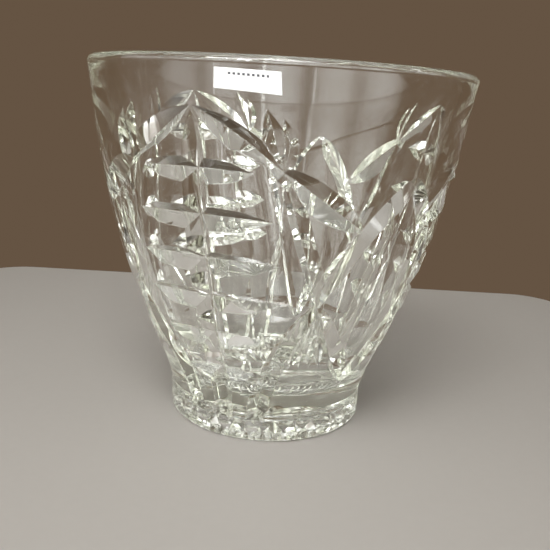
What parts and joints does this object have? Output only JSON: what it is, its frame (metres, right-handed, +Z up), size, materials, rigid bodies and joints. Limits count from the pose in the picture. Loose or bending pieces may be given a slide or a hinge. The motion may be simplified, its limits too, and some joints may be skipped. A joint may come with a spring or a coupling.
{
  "type": "mixing glass",
  "caption": "Footed wide-mouthed pressed-glass bar vessel with a cut-style pattern of ladder panels and pointed leaves, and a small stock label.",
  "frame": {"origin": "centre of the circle that the foot stands on", "axes": "+Z up along the axis of the glass, -Y towards the labelled front"},
  "size_m": [0.1378, 0.1379, 0.13],
  "materials": {
    "clear_glass": "fire-polished clear soda-lime glass with a faint grey-green tint at the edges",
    "label_paper": "matt white self-adhesive paper"
  },
  "bodies": {
    "root": {"glass_body": "clear_glass", "stock_label": "label_paper"}
  },
  "joints": []
}
